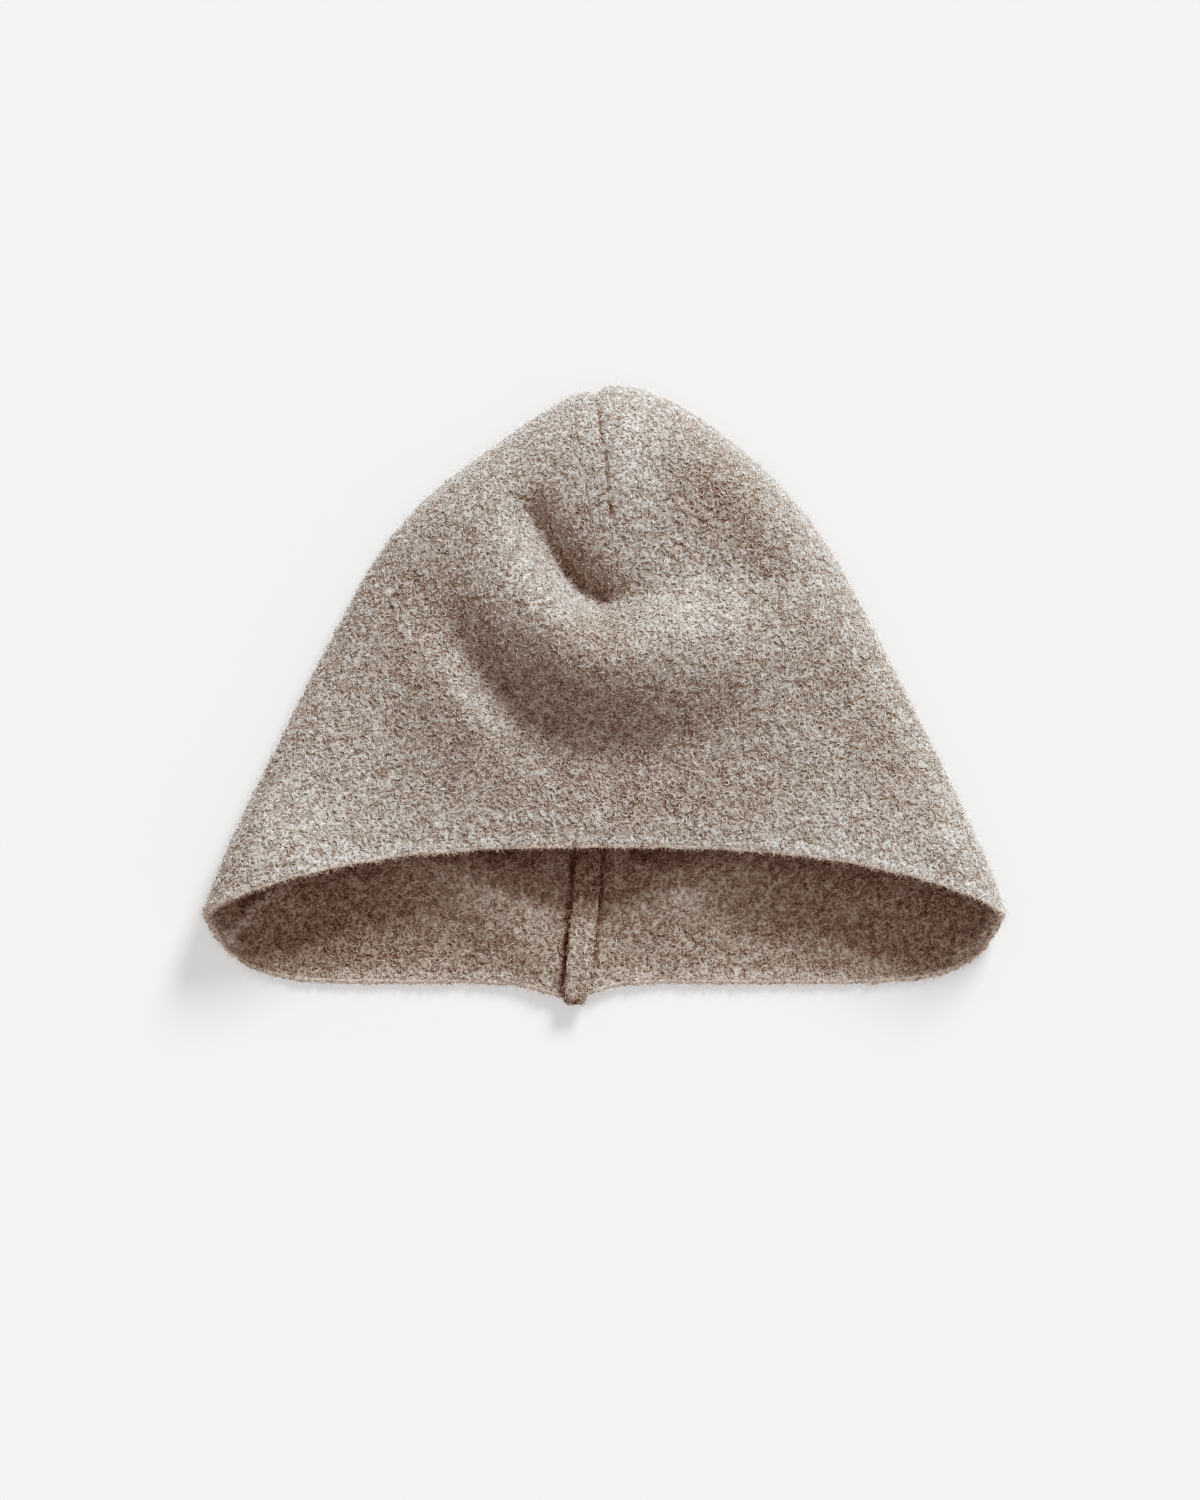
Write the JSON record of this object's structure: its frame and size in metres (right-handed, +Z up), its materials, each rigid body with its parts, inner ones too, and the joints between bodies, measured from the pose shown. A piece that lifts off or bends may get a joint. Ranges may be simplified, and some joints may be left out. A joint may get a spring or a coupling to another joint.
{
  "type": "earflap beanie",
  "caption": "Boiled-wool cap with ear-covering sides and a crushed crown, laid flat on its back, open at the hem.",
  "frame": {"origin": "on the surface that the hat lies on, under the middle of its bounding box", "axes": "+Z up from that surface through the front panel, +Y from the open hem to the crown, +X to the right across the hat"},
  "size_m": [0.2998, 0.231, 0.0478],
  "materials": {
    "wool": "matt boiled boucle knit, heathered light beige loops on a taupe ground, fuzzy",
    "wool_inside": "matt boiled boucle knit, inner side and raw cut edges, a little darker and browner"
  },
  "bodies": {
    "root": {"shell": "wool", "back_seam": "wool_inside", "dart_tuck": "wool_inside"}
  },
  "joints": []
}
